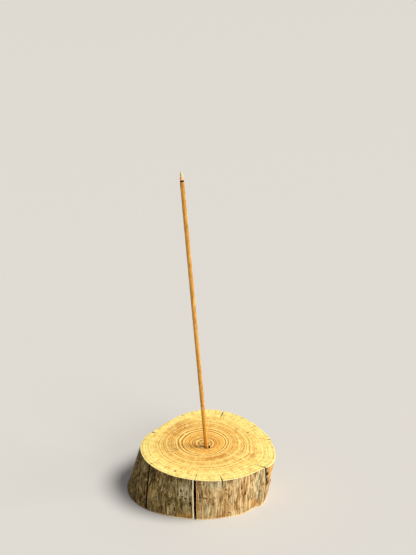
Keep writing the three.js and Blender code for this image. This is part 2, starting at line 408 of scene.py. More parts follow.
def bare_sapwood_wall():
    """Sapwood where the bark has come away: smooth and orange, with fine upright fibres, and cream
    where it is freshly broken beside a check; painted dark shade beside other checks and along the foot."""
    f = Finish("bare_sapwood_wall", 0.65, 0.15)
    here = f.add("TexCoord", {}, "Object")
    fibre, patch = (
        f.add("TexNoise", {"Vector": f.add("Mapping", {"Vector": here, "Scale": per_mm(*size)}),
                           "Scale": 1, "Detail": 4, "Roughness": 0.65})
        for size in ((1.0, 12), (3, 8)))
    lip, dark = (f.add("Attribute", {}, "Fac", attribute_name=note) for note in ("cream_lip", "painted_shade_lip"))
    base = f.add("ValToRGB", {"Fac": fibre}, stops=[
        (0.32, "#9a6126"), (0.43, "#cf9242"), (0.54, "#e9b35c"), (0.66, "#f8d486")])
    cream = f.add("ValToRGB", {"Fac": fibre}, stops=[(0.3, "#ecd092"), (0.48, "#ffefc2"), (0.65, "#fff8dc")])
    base = f.layered(base, [
        (patch, 0.5, 0.66, 0.65, "#a66a2b"),
        (lip, 0.0, 1.0, 1.0, cream),
        # painted dark shade beside the mouths of some checks and along the foot
        (dark, 0.0, 1.0, 1.0, "#1d120a")])
    bump = f.add("Bump", {"Height": fibre, "Distance": 0.09 * MM}, "Normal")
    f.fill(f.shader, {"Base Color": base, "Normal": bump})
    return f.material


def check_wall_in_painted_shade():
    """Wood torn apart by drying, inside the checks: painted near black for the shade deep in them, with
    ragged upright fibres.
    """
    f = Finish("check_wall_in_painted_shade", 0.9, 0.05)
    here = f.add("TexCoord", {}, "Object")
    fibre = f.add("TexNoise", {"Vector": f.add("Mapping", {"Vector": here, "Scale": per_mm(0.5, 5)}),
                               "Scale": 1, "Detail": 4})
    lip = f.add("Attribute", {}, "Fac", attribute_name="cream_lip")
    # painted shade: near-black brown for the depth of the check
    base = f.add("ValToRGB", {"Fac": fibre}, stops=[(0.3, "#070403"), (0.7, "#22150b")])
    base = f.layered(base, [(lip, 0.0, 1.0, 1.0, "#b97f45")])
    bump = f.add("Bump", {"Height": fibre, "Distance": 0.15 * MM}, "Normal")
    f.fill(f.shader, {"Base Color": base, "Normal": bump})
    return f.material


def weathered_inner_bark():
    """Inner bark gone grey-brown with weather: stringy fibres, pits and torn ridges, quite dull,
    with painted shade in the pits and along the mouths of some checks, and painted light in part of the tan.
    """
    f = Finish("weathered_inner_bark", 0.88, 0.1)
    tan, grey, rust, brown, ridge, pit = (
        f.add("Attribute", {}, "Fac", attribute_name=note)
        for note in ("tan", "ash_grey", "rust", "brown", "pale_ridge", "pit"))
    here = f.add("TexCoord", {}, "Object")
    # Single fibres are 0.2 mm. They are drawn as strands of 1 mm so that they show.
    fibre, blotch, fleck, thread, cloud = (
        f.add("TexNoise", {"Vector": f.add("Mapping", {"Vector": here, "Scale": per_mm(*size)}),
                           "Scale": 1, "Detail": 4, "Roughness": 0.65})
        for size in ((1.0, 9), (3, 7), (1.3, 2.6), (0.5, 4), (8, 16)))
    base, pale, ashen, ochre = (
        f.add("ValToRGB", {"Fac": fibre}, stops=list(zip((0.34, 0.44, 0.53, 0.64), colours)))
        for colours in (("#231809", "#54401c", "#7f6633", "#bfa465"),
                        ("#77532a", "#b98c4f", "#e0b778", "#ffe8b4"),
                        ("#63563b", "#aa9970", "#d9c796", "#fdecc4"),
                        ("#6a4014", "#a76d2b", "#cd9045", "#ecbd72")))
    base = f.layered(base, [
        (blotch, 0.5, 0.66, 0.65, "#382911"),
        # tan, partly the bark's own colour and partly painted light on the side that faces the key light
        (tan, 0.0, 1.0, 1.0, pale),
        (grey, 0.0, 1.0, 1.0, ashen),
        (rust, 0.0, 1.0, 1.0, ochre),
        (cloud, 0.48, 0.34, 0.3, "#e6cd92"),
        (cloud, 0.52, 0.66, 0.35, "#4a3517"),
        (thread, 0.52, 0.66, 0.55, "#3a2812"),
        (thread, 0.47, 0.35, 0.35, "#f1dba6"),
        (fleck, 0.58, 0.68, 0.6, "#2a1c0e"),
        (fleck, 0.40, 0.31, 0.5, "#f6e3b4"),
        # dark brown marks, and painted shade along the mouths of some checks
        (brown, 0.0, 1.0, 1.0, "#2b1a0b"),
        (ridge, 0.0, 1.0, 1.0, "#fae5b4"),
        # painted near-black shade in the pits and holes, on top of the shade that their depth casts
        (pit, 0.0, 1.0, 1.0, "#100a05")])
    low = f.add("Bump", {"Height": fleck, "Distance": 0.12 * MM}, "Normal")
    bump = f.add("Bump", {"Height": fibre, "Distance": 0.3 * MM, "Normal": low}, "Normal")
    f.fill(f.shader, {"Base Color": base, "Normal": bump})
    return f.material


def incense_paste():
    """Wood powder and gum pressed through a die and dried: dull, ochre and finely gritty, with faint
    streaks from the die. The grit is 0.1 mm, and is drawn at 0.5 mm so that it shows."""
    f = Finish("incense_paste", 0.5, 0.35)
    here = f.add("TexCoord", {}, "Object")
    streak, drift, grit = (
        f.add("TexNoise", {"Vector": f.add("Mapping", {"Vector": here, "Scale": per_mm(*size)}),
                           "Scale": 1, "Detail": 3})
        for size in ((0.7, 8), (6, 14), (0.5, 0.7)))
    base = f.add("ValToRGB", {"Fac": streak}, stops=[(0.3, "#b8761c"), (0.5, "#db9a38"), (0.7, "#f0bd58")])
    base = f.layered(base, [
        (drift, 0.45, 0.65, 0.45, "#bf7a22"),
        (grit, 0.55, 0.66, 0.7, "#82490c"),
        (grit, 0.44, 0.34, 0.6, "#f8d680")])
    bump = f.add("Bump", {"Height": grit, "Distance": 0.12 * MM}, "Normal")
    f.fill(f.shader, {"Base Color": base, "Normal": bump})
    return f.material


def charred_paste():
    """Paste that has just charred: black, cracked and dull."""
    f = Finish("charred_paste", 0.9, 0.1)
    here = f.add("TexCoord", {}, "Object")
    crack = f.add("TexNoise", {"Vector": here, "Scale": 1 / (0.3 * MM), "Detail": 4})
    base = f.add("ValToRGB", {"Fac": crack}, stops=[(0.35, "#050303"), (0.7, "#2b1d15")])
    bump = f.add("Bump", {"Height": crack, "Distance": 0.15 * MM}, "Normal")
    f.fill(f.shader, {"Base Color": base, "Normal": bump})
    return f.material


def glowing_coal():
    """The burning heart of the stick: red, and brightest in its cracks."""
    f = Finish("glowing_coal", 0.8, 0.1)
    here = f.add("TexCoord", {}, "Object")
    crack = f.add("TexNoise", {"Vector": here, "Scale": 1 / (0.4 * MM), "Detail": 3})
    base = f.add("ValToRGB", {"Fac": crack}, stops=[(0.3, "#2a0c06"), (0.7, "#c4441c")])
    glow = f.add("ValToRGB", {"Fac": crack}, stops=[(0.35, "#7a1405"), (0.55, "#ff5a1e"), (0.7, "#ffb066")])
    f.fill(f.shader, {"Base Color": base, "Emission Color": glow, "Emission Strength": 1.5})
    return f.material


def incense_ash():
    """Fine pale ash that keeps the stick's shape: powdery, with painted glow from the coal low on its left,
    in its colour and a weak emission.
    """
    f = Finish("incense_ash", 0.95, 0.1)
    here = f.add("TexCoord", {}, "Object")
    powder, flake = (
        f.add("TexNoise", {"Vector": here, "Scale": 1 / (size * MM), "Detail": 4, "Roughness": 0.65})
        for size in (0.35, 1.0))
    warm, scorch = (f.add("Attribute", {}, "Fac", attribute_name=note) for note in ("warm_glow", "scorch"))
    base = f.add("ValToRGB", {"Fac": powder}, stops=[(0.3, "#9c8558"), (0.5, "#e0cc96"), (0.7, "#fff0c0")])
    base = f.layered(base, [
        (flake, 0.55, 0.7, 0.5, "#8a6f55"),
        (scorch, 0.0, 1.0, 1.0, "#5a3a20"),
        # painted glow from the coal, orange
        (warm, 0.0, 1.0, 1.0, "#ff8c5c")])
    glow = f.layered("#000000", [(warm, 0.0, 1.0, 1.0, "#ff6a3c")])
    bump = f.add("Bump", {"Height": powder, "Distance": 0.12 * MM}, "Normal")
    f.fill(f.shader, {"Base Color": base, "Normal": bump, "Emission Color": glow, "Emission Strength": 0.35})
    return f.material


# ---------------------------------------------------------------- the slice

COLUMNS = 480
COLUMN = 360 / COLUMNS
HOLE_EDGE = 1.0  # the hole's wall, in the working disc's own radius, whose rim is at 2
RIM_EDGE = 2.0
ROWS = np.concatenate([[0.5, HOLE_EDGE], HOLE_EDGE + np.array([0.004, 0.012]),
                       HOLE_EDGE + np.linspace(0.035, 0.972, 42),
                       HOLE_EDGE + np.array([0.984, 0.992, 0.997, 1])])
EDGE_HEIGHTS = np.array([0, 0.1, 0.22, 0.4, 0.65, 1.0, 1.5])
LEVELS = np.concatenate([EDGE_HEIGHTS, np.linspace(2.3, TOP - 2.3, 26), TOP - EDGE_HEIGHTS[::-1]])

HOLE_RADIUS = WOOD.ray_cast(Vector((0, 0, TOP - 5)), Vector((1, 0, 0)), RAY_START)[3]
HOLE_FLOOR = WOOD.ray_cast(Vector((0, 0, TOP + 1)), Vector((0, 0, -1)), RAY_START)[0].z
LIP_REACH = 6.0  # mm either side of a check that give way for it
HAIRLINE = 0.01
ROUNDING = 0.22  # worn off the sawn edges
UNDER_BARK = 0.66  # mm from the outside of the bark to the wood under it
TOP_SLIT = 0.2  # the front check's half width in the top face
# How far the bark stands back anticlockwise and clockwise of a check's mouth, in mm, and how pale
# the wood that it bares is there.
SETBACK = {"front": (0.05, 0.85), "front_short": (0.0, 0.5),
           "front_right": (0.1, 0.25), "front_left": (0.2, 0.2)}
PALENESS = {"front": (0.2, 1.0), "front_short": (0.2, 0.8), "front_right": (0.2, 0.7)}
NO_SETBACK = (0.05, 0.05)
WIDENED = {"front": 1.2, "back_left": 1.5, "back_short": 1.6, "front_short": 1.2}
BARK_TOP = 0.3  # the bark starts this far under the sawn face
BARK_FOOT = 0.3


def slit_column(check):
    """The working disc's column that opens at this check."""
    return round(float(check_turn(check, TOP)) / COLUMN - 0.5) % COLUMNS


def slit_turn(check):
    return (slit_column(check) + 0.5) * COLUMN


def tip_share(check):
    """How far out from the hole to the wall the check's tip lies, on a row of the disc."""
    wall = float(outer_wall(check_turn(check, TOP), TOP))
    share = 1 - check["depth"] / (wall - HOLE_RADIUS)
    return float(ROWS[np.argmin(abs(ROWS - HOLE_EDGE - share))] - HOLE_EDGE)


def slice_blank():
    """A disc on rows and columns with a slit at each check and a blind hole, all walls upright."""
    shape = turned([(0, TOP)] + [(row, TOP) for row in ROWS], COLUMNS)
    slits = []
    for check in CHECKS.values():
        turn, tip = slit_turn(check), HOLE_EDGE + tip_share(check)
        for face in shape.faces:
            middle = face.calc_center_median()
            off = apart(math.degrees(math.atan2(middle.y, middle.x)), turn)
            if abs(off) < COLUMN * 0.4 and math.hypot(middle.x, middle.y) > tip:
                slits.append(face)
    bmesh.ops.delete(shape, geom=slits, context="FACES")
    push_down(shape, list(shape.faces), 0)
    hole = [f for f in shape.faces if f.calc_center_median().xy.length < HOLE_EDGE
            and min(v.co.z for v in f.verts) > TOP / 2]
    push_down(shape, hole, HOLE_FLOOR)
    upright = [e for e in shape.edges if abs(e.verts[0].co.z - e.verts[1].co.z) > 1]
    bmesh.ops.subdivide_edges(shape, edges=upright, cuts=len(LEVELS) - 2)
    return shape


def disc_place(places):
    """Each working point's radius and turn on the disc, and its real height. Outside the hole the
    levels lie closer together near the sawn faces."""
    radius = np.hypot(places[:, 0], places[:, 1])
    turn = np.degrees(np.arctan2(places[:, 1], places[:, 0])) % 360
    even = np.linspace(0, TOP, len(LEVELS))
    spaced = np.interp(places[:, 2], even, LEVELS)
    return radius, turn, np.where(radius > HOLE_EDGE + 1e-4, np.round(spaced, 5), places[:, 2])


def follow_grain(disc_turn, height):
    """The turn in the real slice of a turn on the disc, at a height."""
    order = sorted(CHECKS.values(), key=slit_turn)
    stops = np.array([slit_turn(c) for c in order])
    stops = np.concatenate([[stops[-1] - 360], stops, [stops[0] + 360]])
    result = np.zeros_like(disc_turn)
    for level in np.unique(height):
        goals = np.unwrap([check_turn(c, level) for c in order], period=360)
        goals = np.concatenate([[goals[-1] - 360], goals, [goals[0] + 360]])
        here = height == level
        result[here] = np.interp(disc_turn[here], stops, goals)
    return result


def gape(name, check, share, height):
    """Half the check's width in mm, at a share of the way out and a height."""
    tip = tip_share(check)
    opening = np.clip((share - tip) / (1 - tip), 0, 1)
    half = check["width"] / 2 * opening ** 0.85
    half = half * (0.85 + 0.3 * grain(height / 3.1, opening * 2, seed=CHECK_NAMES.index(name)))
    half = half * WIDENED.get(name, 1)
    if not check["through"]:
        half = half * smooth(check["low"] - 2.5, mix(check["low"], TOP, 0.6), height)
    if name == "front":  # closed on top but for a crooked line
        line = TOP_SLIT * smooth(0.42, 0.6, opening) * (0.4 + grain(opening * 9, 3))
        half = mix(half, line, smooth(TOP - 1.0, TOP - 0.3, height))
    if name == "front_right":  # pinched half way down, and closed at the foot
        pinch = smooth(11, 14, height) * (1 - smooth(18, 23, height))
        half = half * (1 - 0.7 * pinch) * smooth(-0.5, 3, height)
    if name == "back_right":  # nearly closed again under the top face
        half = half * mix(0.1, 1, smooth(TOP - 1.6, TOP - 0.1, height))
    return np.maximum(half, HAIRLINE)


def bareness(turn, height):
    """1 where the bark has flaked off the wood, and 0 under bark."""
    return 1 - np.clip(read(BARK_COVER, turn, np.clip(height, HEIGHTS[0], HEIGHTS[-1])), 0, 1)


def lips(turn, height):
    """How far each point of the wall is past the bared wood beside a check, and how pale that is."""
    nearest, pale = np.full(len(turn), 99.0), np.zeros(len(turn))
    for name, paleness in PALENESS.items():
        off = apart(turn, check_turn(CHECKS[name], height))
        distance = np.radians(off) * outer_wall(turn, height)
        half = gape(name, CHECKS[name], np.ones_like(height), height)
        edge = np.where(distance > 0, *SETBACK[name]) * smooth(0.02, 0.25, half)
        past = abs(distance) - half - edge
        pale = np.where(past < nearest, np.where(distance > 0, *paleness), pale)
        nearest = np.minimum(nearest, past)
    return nearest, pale


def slice_shape(places):
    """Moves the working disc's points on to the real slice."""
    radius, turn, height = disc_place(places)
    share = np.maximum(radius - HOLE_EDGE, 0)
    real = follow_grain(turn, height)
    twist = apart(real, turn)
    real = turn + twist * smooth(0, 0.3, share)
    outer = outer_wall(real, height)
    out = np.where(radius <= HOLE_EDGE, radius * HOLE_RADIUS, mix(HOLE_RADIUS, outer, share))
    for name, check in CHECKS.items():
        columns = apart(turn, slit_turn(check)) / COLUMN
        off = apart(real, check_turn(check, height))
        distance = np.radians(off) * out
        near = (abs(distance) < LIP_REACH) & (abs(columns) > 0.3) & (share >= tip_share(check) - 1e-6)
        half_column = abs(distance) * 0.5 / np.maximum(abs(columns), 0.5)
        half = gape(name, check, share, height)
        given = half + (abs(distance) - half_column) * (LIP_REACH - half) / (LIP_REACH - half_column)
        sway = 0.22 * (rough(share * 14, height / 5, seed=5 + CHECK_NAMES.index(name)) - 0.5)
        given = np.sign(columns) * given + sway * (1 - np.minimum(abs(distance) / LIP_REACH, 1))
        real = np.where(near, check_turn(check, height) + np.degrees(given / np.maximum(out, 1)), real)
    # Under the bark the wood lies lower. It comes out to meet the sawn faces and the checks' lips.
    bare = smooth(0.3, 0.7, bareness(real, height))
    edge = np.minimum(TOP - height - BARK_TOP, height - BARK_FOOT)
    edge = np.minimum(edge, lips(real, height)[0])
    skin = mix(0.03, UNDER_BARK, smooth(-0.1, 0.45, edge))
    skin = mix(skin, BARK_DEPTH * 0.92, bare)
    inside = smooth(0.5, 1.5, np.minimum(TOP - height, height))
    skin = skin + 0.12 * (rough(real / 1.4, height / 9, seed=3) - 0.35) * inside
    wall = outer - skin
    out = np.where(radius <= HOLE_EDGE, out, mix(HOLE_RADIUS, wall, share))
    # Sawn edges, a little rounded: a square corner made a quarter of a circle.
    inward = np.clip(ROUNDING - (wall - out), 0, ROUNDING) / ROUNDING
    for face, sign in ((TOP, 1), (0, -1)):
        upward = np.clip(ROUNDING - abs(face - height), 0, ROUNDING) / ROUNDING
        corner = (inward > 0) & (upward > 0)
        out = np.where(corner, wall - ROUNDING + ROUNDING * inward * np.sqrt(1 - upward ** 2 / 2), out)
        level = face - sign * ROUNDING * (1 - upward * np.sqrt(1 - inward ** 2 / 2))
        height = np.where(corner, level, height)
    # Sanding leaves the face very slightly uneven.
    face = smooth(TOP - 0.3, TOP, height) * smooth(0.02, 0.08, share)
    bearing = np.radians(real)
    height = height - 0.05 * face * rough(out * np.cos(bearing) / 6, out * np.sin(bearing) / 6)
    return np.column_stack([out * np.cos(bearing), out * np.sin(bearing), height])


RING_DRIFT = ((0, 11.5, 22, 46), (-1, -2, -3.2, 0.7), (4.5, 5.5, 7.3, 6.0))  # growth, x and y in mm
LAST_RING = 46.0


def growth_at(x, y):
    """How many mm of wood had grown when the ring through each point of the top face did."""
    bearings = np.radians(TURNS)
    rim = outer_wall(TURNS, TOP)
    centre_x, centre_y = RING_DRIFT[1][-1], RING_DRIFT[2][-1]
    rim_x, rim_y = rim * np.cos(bearings) - centre_x, rim * np.sin(bearings) - centre_y
    around = np.unwrap(np.arctan2(rim_y, rim_x))
    order = np.argsort(around % TAU)
    rim_turn, rim_reach = (around % TAU)[order], np.hypot(rim_x, rim_y)[order] / LAST_RING
    low, high = np.zeros_like(x), np.full_like(x, 1.3 * LAST_RING)
    for _ in range(26):
        middle = (low + high) / 2
        dx = x - np.interp(middle, RING_DRIFT[0], RING_DRIFT[1])
        dy = y - np.interp(middle, RING_DRIFT[0], RING_DRIFT[2])
        outline = np.interp(np.arctan2(dy, dx) % TAU, rim_turn, rim_reach, period=TAU)
        reach = middle * mix(1, outline, smooth(0.3, 0.9, middle / LAST_RING))
        inside = np.hypot(dx, dy) < reach
        high, low = np.where(inside, middle, high), np.where(inside, low, middle)
    return (low + high) / 2


def blot(x, y, at, size, turn=0):
    """A soft-edged oval mark, 1 at its middle."""
    c, s = math.cos(math.radians(turn)), math.sin(math.radians(turn))
    dx, dy = x - at[0], y - at[1]
    along, across = (dx * c + dy * s) / size[0], (dy * c - dx * s) / size[1]
    return 1 - smooth(0.25, 1.0, np.hypot(along, across))


def slice_notes(places):
    """Growth and marks for the slice's points, as they would lie on the top face."""
    radius, turn, height = disc_place(places)
    share = np.maximum(radius - HOLE_EDGE, 0)
    real = follow_grain(turn, np.full_like(height, TOP))
    outer = outer_wall(real, TOP)
    out = np.where(radius <= HOLE_EDGE, radius * HOLE_RADIUS, mix(HOLE_RADIUS, outer, share))
    x, y = out * np.cos(np.radians(real)), out * np.sin(np.radians(real))
    growth = growth_at(x, y)
    broken = rough(x / 2.5, y / 2.5, seed=8)
    back_left = smooth(100, 118, real) * (1 - smooth(140, 158, real))
    back_left = back_left * smooth(16, 22, growth) * (1 - smooth(35, 41, growth))
    front_arc = smooth(255, 272, real) * (1 - smooth(322, 338, real))
    front_arc = front_arc * smooth(18.8, 20.5, growth) * (1 - smooth(22.5, 24.5, growth))
    right_patch = blot(x, y, (32, -11), (6, 4), 60)
    warmth = np.clip(0.75 * back_left + 0.9 * front_arc + 0.6 * right_patch, 0, 1)
    # Painted shadow of the stick to the left of its foot, and painted shade round the hole.
    stick_shade = 0.4 * blot(x, y, (-4.0, 1.6), (3.4, 2.4), 20) * smooth(0.2, 0.55, broken)
    stick_shade = np.maximum(stick_shade, 0.4 * blot(x, y, (-0.5, 0.5), (6, 5)) * smooth(0.25, 0.65, broken))
    smudge = 0.75 * blot(x, y, (-24, -4), (7, 3), 20) * smooth(0.4, 0.55, rough(x / 1.5, y / 1.5, seed=2))
    for at, size in (((21, 23), 0.8), ((29, 19), 0.9), ((-21, -29), 1.0), ((-16, 30), 0.6)):
        smudge = np.maximum(smudge, 0.95 * blot(x, y, at, (1.8 * size, 1.2 * size), 30))
    ring_line = 1 - smooth(0.15, 0.5, abs(growth - LAST_RING + 1.2 + 0.5 * broken))
    # Bare wood shows cream beside the sawn edges and the mouths of some checks. It gets painted dark shade
    # beside the other checks' mouths, and along the foot except at the front.
    low_turn = follow_grain(turn, height)
    rim = 1 - smooth(-0.1, 0.6, TOP - height - BARK_TOP)
    foot = 1 - smooth(-0.1, 0.5, height - BARK_FOOT)
    pale_foot = 0.5 * smooth(215, 240, low_turn)
    past, pale = lips(low_turn, height)
    lip = np.maximum(rim, foot * pale_foot)
    lip = np.maximum(lip, pale * (1 - smooth(0.0, 0.45, past))) * (share > 0.99)
    dark = foot * (0.5 - pale_foot) * 1.8
    for name in CHECKS.keys() - PALENESS.keys():
        off = apart(low_turn, check_turn(CHECKS[name], height))
        dark = np.maximum(dark, 1 - smooth(0.5, 1.2, np.radians(abs(off)) * outer))
    # The crust that closes the front check on top is pale inside too.
    by_front = abs(apart(low_turn, check_turn(CHECKS["front"], height))) < 2
    crust = smooth(TOP - 0.9, TOP - 0.3, height) * (share < 0.99) * by_front * (share > 0.3)
    return {"growth": growth, "warmth": warmth, "painted_shade_at_stick": stick_shade, "smudge": smudge,
            "edge_line": 0.5 * ring_line * smooth(100, 130, real) * (1 - smooth(230, 260, real)),
            "cream_lip": np.maximum(lip, 0.3 * crust),
            "painted_shade_lip": dark * (share > 0.99) * (height < TOP - 0.3)}


def make_slice():
    shape = slice_blank()
    shape.faces.ensure_lookup_table()
    for face in shape.faces:
        middle = face.calc_center_median()
        radius = middle.xy.length
        flat = len({round(v.co.z, 5) for v in face.verts}) == 1
        face.material_index = 0 if flat else 1 if radius > RIM_EDGE - 1e-3 else 2
    return finish_piece(shape, "branch_slice", "burner",
                        [sanded_end_grain(), bare_sapwood_wall(), check_wall_in_painted_shade()],
                        slice_shape, slice_notes, ["wood_slice"])


# ---------------------------------------------------------------- the bark

CELL = (0.3, 0.42)  # mm across and up
SHEET = 0.6  # mm thick, at its thickest
MARK_RADIUS = 44  # mm from the hole to the wall, where the marks' widths are taken
FIBRE_RADIUS = 45
SHEET_RADIUS = 46
TAN_STARTS = 262  # the turn in degrees where the grey bark gives way to tan
PITS = {
    "front_left": ((-10, 19, 0.55, 2.2),),
    "front": ((-10.5, 21, 0.7, 0.8), (-12.5, 18, 0.5, 0.7), (-7, 15.5, 0.8, 0.6), (-3.5, 12, 0.9, 1.3),
              (-19, 9, 0.7, 0.7), (-9.5, 16.5, 0.6, 0.6), (-15, 6, 0.5, 1.6), (-6.5, 18.5, 0.5, 0.5),
              (22.5, 23, 0.7, 0.6), (7.5, 17, 0.6, 0.8), (5, 21, 0.35, 3.4), (25, 17, 0.7, 0.5)),
    "front_right": ((-16, 16.5, 0.4, 1.8), (-13, 11, 0.4, 2.4), (-10, 9, 0.6, 0.6)),
    "right_short": ((2, 18, 0.5, 1.8),),
    "back_right": ((-25.5, 12, 0.8, 1.0), (11, 20, 0.5, 2.0)),
    "back_left": ((-25, 9, 0.9, 1.1), (8.5, 14, 0.5, 2.4), (22.5, 22, 0.7, 0.9))}
BROWNS = {
    "front_left": ((3.5, 27.5, 1.3, 3.0), (5.5, 25.5, 1.3, 3.6), (2, 18.5, 0.8, 2.0), (-1.5, 11.5, 1.0, 3.0),
                   (0, 8.5, 0.8, 2.0), (-3, 5, 2.2, 2.8)),
    "front": ((3.5, 17, 0.8, 6.0),),
    "front_right": ((1, 24, 1.1, 6.5), (1.5, 17.5, 1.2, 2.5)),
    "right_short": ((14.5, 22, 1.2, 5.0),),
    "back_right": ((0.5, 16, 1.1, 6.0),),
    "back_left": ((-8.5, 20, 1.2, 5.0),)}
RUSTS = {
    "front_left": ((2.5, 12, 1.0, 5.0), (0, 14, 0.8, 6.0)),
    "front": ((-5, 2.5, 3.2, 2.6), (-11, 2, 2.6, 1.6), (25, 17.5, 1.6, 3.0), (31, 9, 1.6, 6.0),
              (22, 4, 2.4, 3.5), (3, 8, 0.9, 5.0)),
    "front_right": ((-17.5, 21, 2.6, 8.0), (-11, 23, 1.0, 5.0), (-7.5, 5, 4.0, 2.5)),
    "back_right": ((-21, 8, 3.0, 4.0), (19, 13, 2.0, 7.0)),
    "back_left": ((-0.5, 8, 2.0, 5.0),)}
GREYS = {
    "front": ((14.5, 27.5, 8.0, 3.2), (9, 8, 3.6, 4.2), (-7.5, 21, 5.0, 7.0)),
    "front_right": ((-5.5, 20, 3.6, 10.0), (-4.5, 10, 2.5, 5.0)),
    "right_short": ((-3.5, 12, 6.0, 8.0),),
    "back_left": ((-14, 16, 7.0, 9.0),)}
# Ridges: mm past the check and height at the upper end, then at the lower end, and half width.
RIDGES = {
    "front": ((29, 30.5, 28, 0.5, 0.32), (32.5, 30.5, 34.5, 0.5, 0.28), (19, 30.5, 19, 23, 0.55),
              (16, 22, 15.5, 2, 0.3), (-19.5, 7.5, -19.5, 1, 0.3), (-23.5, 26, -25, 17, 0.25)),
    "front_right": ((-12.5, 30.5, -14, 15.5, 0.42), (-9, 21.5, -8, 14, 0.4), (-7, 27, -4.5, 17, 0.25),
                    (-12.5, 9, -12.5, 1, 0.3)),
    "right_short": ((-3.5, 26, -12.5, 4, 0.35),),
    "back_right": ((13.5, 28, 3.5, 8, 0.3),),
    "back_left": ((-20.5, 22, -27, 3, 0.35), (15.5, 28, 9.5, 12, 0.3))}


def through_checks():
    return [(name, check) for name, check in CHECKS.items() if check["through"]]


def strip_ends(node):
    """The two checks that a strip of bark runs between, anticlockwise."""
    points = [v.co for v in frame["nodes"][node].data.vertices]
    middle = sum(points, Vector()) / len(points)
    turn = math.degrees(math.atan2(middle.y, middle.x)) % 360
    height = middle.z / MM
    order = through_checks()
    after = [(check_turn(check, height) - turn) % 360 for _, check in order]
    end = int(np.argmin(after))
    return order[end - 1], order[end]


def beside(name, past, height):
    """The turn of a place some mm past a check, at a height."""
    return check_turn(CHECKS[name], height) + math.degrees(past / MARK_RADIUS)


def marks(groups, turn, height, soft=0.55):
    """The strongest of some oval marks at each point, with ragged edges."""
    ragged = 0.75 + 0.5 * rough(turn * 0.9, height / 0.9, seed=4)
    total = np.zeros_like(turn)
    for name, spots in groups.items():
        for past, up, half_width, half_height in spots:
            off = np.radians(apart(turn, beside(name, past, up))) * MARK_RADIUS / half_width
            distance = np.hypot(off, (height - up) / half_height) * ragged
            total = np.maximum(total, 1 - smooth(1 - soft, 1 + soft, distance))
    return total


def ridge_marks(turn, height):
    total = np.zeros_like(turn)
    for name, ridges in RIDGES.items():
        for top_past, top, low_past, low, half in ridges:
            line = (beside(name, low_past, low), beside(name, top_past, top))
            at = np.interp(height, (low, top), line) + 0.5 * (rough(height / 4, 3.3, seed=6) - 0.5)
            ends = smooth(low - 1, low + 1, height) * (1 - smooth(top - 1, top + 1, height))
            off = np.radians(apart(turn, at)) * MARK_RADIUS
            total = np.maximum(total, ends * (1 - smooth(half * 0.6, half * 1.5, abs(off))))
    return total * mix(0.5, 1, smooth(0.35, 0.55, rough(turn * 0.4, height / 2.5, 12)))


def over_check(name, turn, height):
    """True where bark would hang over a short check or the bare wood beside it."""
    off = apart(turn, check_turn(CHECKS[name], height))
    distance = np.radians(off) * outer_wall(turn, height)
    half = gape(name, CHECKS[name], np.ones_like(height), height)
    return (half > 0.1) & (abs(distance) < half + np.where(distance > 0, *SETBACK.get(name, NO_SETBACK)))


